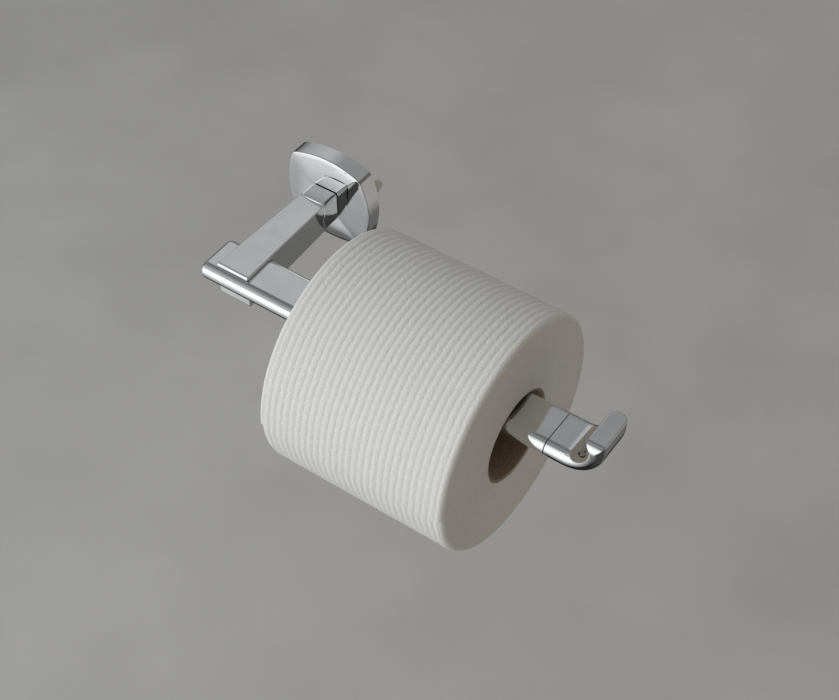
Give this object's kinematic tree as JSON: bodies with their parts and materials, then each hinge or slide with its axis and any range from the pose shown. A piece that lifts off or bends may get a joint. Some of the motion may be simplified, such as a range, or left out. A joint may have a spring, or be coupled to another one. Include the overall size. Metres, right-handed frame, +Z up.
{
  "type": "toilet paper holder",
  "caption": "Wall-mounted toilet paper holder: a square escutcheon and a tapered arm carry an open-ended bar whose upturned lip keeps the paper roll on.",
  "frame": {"origin": "middle of the escutcheon's back, on the wall plane, on the post's axis", "axes": "+X along the bar to its open end, +Y into the wall, +Z up"},
  "size_m": [0.2286, 0.1548, 0.12],
  "materials": {
    "chrome": "polished",
    "steel": "satin",
    "zinc": "matte",
    "nylon": "matte",
    "cardboard": "matte",
    "paper": "matte"
  },
  "bodies": {
    "holder": {"escutcheon": "chrome", "neck": "chrome", "arm": "chrome", "bar": "chrome", "end_cap": "chrome", "post_bolt": "steel", "post_washer": "steel", "arm_pin_upper": "steel", "arm_pin_lower": "steel", "bar_screw_left": "steel", "bar_screw_right": "steel", "end_cap_stud": "steel", "end_cap_pin_front": "steel", "end_cap_pin_rear": "steel", "set_screw": "steel", "wall_bracket": "zinc", "wall_screw_left": "steel", "wall_screw_right": "steel", "wall_anchor_left": "nylon", "wall_anchor_right": "nylon"},
    "core": {"cardboard_core": "cardboard"},
    "roll": {"paper_roll": "paper"}
  },
  "joints": [
    {"name": "roll_slide", "type": "slide", "parent": "holder", "child": "core", "axis": [1, 0, 0], "range_m": [-0.0455, 0.0315]},
    {"name": "roll_spin", "type": "hinge", "parent": "core", "child": "roll", "pos_m": [0.1055, -0.0755, -0.01264], "axis": [1, 0, 0], "continuous": true}
  ]
}
